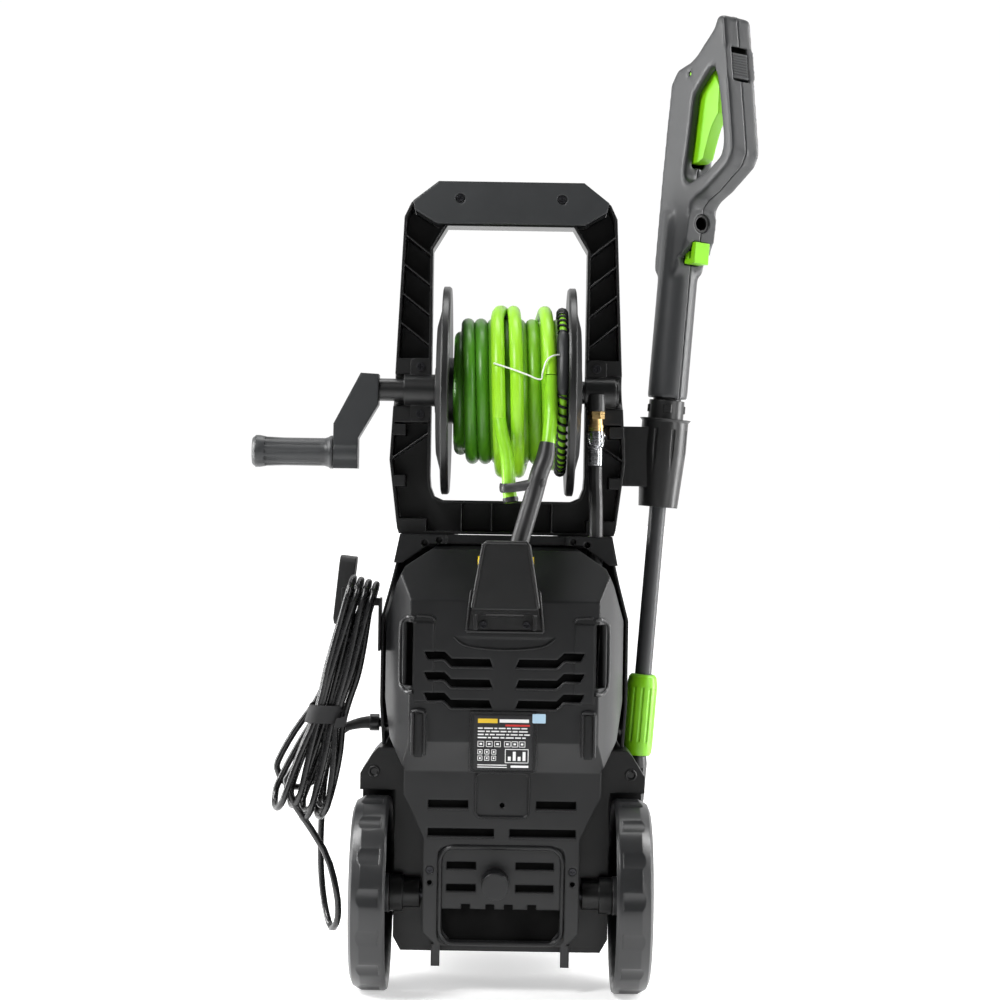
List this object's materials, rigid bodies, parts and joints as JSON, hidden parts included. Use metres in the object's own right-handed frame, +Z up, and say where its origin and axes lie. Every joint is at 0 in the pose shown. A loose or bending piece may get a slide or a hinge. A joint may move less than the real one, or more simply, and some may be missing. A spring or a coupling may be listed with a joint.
{
  "type": "pressure washer",
  "caption": "Upright electric pressure washer on two wheels with a loop handle, hose reel with crank, and a trigger gun and lance in a side holster.",
  "frame": {"origin": "on the floor under the middle of the machine without its cords", "axes": "+Z up, +Y towards the machine's front, away from the operator, +X to the operator's right; the axle and the reel lie along X"},
  "size_m": [0.5296, 0.382, 1.025],
  "materials": {
    "body_plastic": "fine moulded grain",
    "black_plastic": "smooth black moulding",
    "grey_plastic": "satin grey moulding",
    "green_plastic": "satin green moulding",
    "hose_green": "smooth extruded hose",
    "black_rubber": "matt rubber",
    "dark_screws": "black oxide",
    "steel": "turned",
    "lance_metal": "dark grey coat",
    "brass": "turned",
    "cast_metal": "as cast",
    "motor_metal": "pressed",
    "copper_winding": "lacquered wire",
    "fan_plastic": "moulded",
    "plate_print": "printed film",
    "yellow_film": "printed film"
  },
  "bodies": {
    "machine": {"chassis": "black_plastic", "front_feet": "black_rubber", "rear_cover": "body_plastic", "front_cover": "body_plastic", "front_panel": "green_plastic", "top_deck": "body_plastic", "cover_screws": "dark_screws", "rating_plate": "plate_print", "yellow_label": "yellow_film", "tow_stub": "body_plastic", "hose_hook": "black_plastic", "hook_screws": "dark_screws", "cable_hook": "black_plastic", "cord_gland": "black_plastic", "axle": "steel", "handle_frame": "black_plastic", "grip_rear": "grey_plastic", "grip_front": "grey_plastic", "grip_screws": "dark_screws", "reel_cap": "black_plastic", "cap_screws": "dark_screws", "swivel_inlet": "black_plastic", "brass_nipple": "brass", "quick_coupling": "steel", "jumper_hose": "black_rubber", "hose_tail": "hose_green", "hose_boots": "black_rubber", "gun_holster": "black_plastic", "motor": "motor_metal", "gear_case": "cast_metal", "pump": "cast_metal", "pistons": "steel", "switch_box": "black_plastic", "cord_lead": "black_rubber", "cord_hank": "black_rubber", "power_plug": "black_rubber"},
    "wheel_left": {"wheel_left": "grey_plastic", "hub_cap_left": "grey_plastic"},
    "wheel_right": {"wheel_right": "grey_plastic", "hub_cap_right": "grey_plastic"},
    "reel": {"reel_drum": "black_plastic", "reel_flange_left": "black_plastic", "reel_flange_right": "black_plastic", "hose_wound": "hose_green", "crank_arm": "grey_plastic"},
    "crank_handle": {"crank_grip": "grey_plastic"},
    "gun": {"gun_shell_left": "grey_plastic", "gun_shell_right": "grey_plastic", "gun_valve": "steel"},
    "trigger": {"gun_trigger": "green_plastic"},
    "lock": {"trigger_lock": "grey_plastic"},
    "release": {"hose_release": "green_plastic"},
    "lance": {"lance_tube": "lance_metal", "lance_collar": "black_plastic"},
    "nozzle": {"nozzle_sleeve": "green_plastic", "nozzle_tip": "black_plastic"},
    "rotor": {"armature": "copper_winding", "motor_fan": "fan_plastic"},
    "gear": {"drive_gear": "steel"},
    "knob": {"switch_knob": "green_plastic"}
  },
  "joints": [
    {"name": "wheel_left_spin", "type": "hinge", "parent": "machine", "child": "wheel_left", "pos_m": [-0.134, -0.092, 0.1], "axis": [1, 0, 0], "continuous": true},
    {"name": "wheel_right_spin", "type": "hinge", "parent": "machine", "child": "wheel_right", "pos_m": [0.134, -0.092, 0.1], "axis": [1, 0, 0], "continuous": true},
    {"name": "reel_spin", "type": "hinge", "parent": "machine", "child": "reel", "pos_m": [0, -0.04, 0.624], "axis": [1, 0, 0], "continuous": true},
    {"name": "crank_grip_spin", "type": "hinge", "parent": "reel", "child": "crank_handle", "pos_m": [-0.23, -0.04, 0.557], "axis": [1, 0, 0], "continuous": true},
    {"name": "gun_lift", "type": "slide", "parent": "machine", "child": "gun", "axis": [0.0715, 0, 0.9974], "range_m": [0, 0.45]},
    {"name": "trigger_pull", "type": "hinge", "parent": "gun", "child": "trigger", "pos_m": [0.20393, -0.00687, 0.96744], "axis": [-0.8459, -0.5299, 0.0606], "range_deg": [0, 9], "stiffness_Nm_per_rad": 1.5, "springref_deg": -8.59},
    {"name": "trigger_lock_slide", "type": "slide", "parent": "gun", "child": "lock", "axis": [-0.0585, 0.2052, 0.977], "range_m": [0, 0.006]},
    {"name": "hose_release_press", "type": "slide", "parent": "gun", "child": "release", "axis": [-0.5286, 0.848, 0.0379], "range_m": [0, 0.003], "stiffness_N_per_m": 800, "springref_m": -0.002},
    {"name": "lance_twist", "type": "hinge", "parent": "gun", "child": "lance", "pos_m": [0.17064, 0.005, 0.6069], "axis": [0.0715, 0, 0.9974], "range_deg": [0, 60]},
    {"name": "nozzle_turn", "type": "hinge", "parent": "lance", "child": "nozzle", "pos_m": [0.14705, 0.005, 0.27774], "axis": [0.0715, 0, 0.9974], "range_deg": [-45, 45]},
    {"name": "knob_turn", "type": "hinge", "parent": "machine", "child": "knob", "pos_m": [0, 0.15, 0.392], "axis": [0, 1, 0], "range_deg": [0, 90]},
    {"name": "rotor_spin", "type": "hinge", "parent": "machine", "child": "rotor", "pos_m": [0, 0.012, 0.29], "axis": [0, 0, 1], "continuous": true},
    {"name": "gear_spin", "type": "hinge", "parent": "machine", "child": "gear", "pos_m": [0, -0.02175, 0.176], "axis": [0, 0, 1], "continuous": true}
  ],
  "couplings": [
    {"joint": "gear_spin", "follows": "rotor_spin", "ratio": -0.28571}
  ]
}
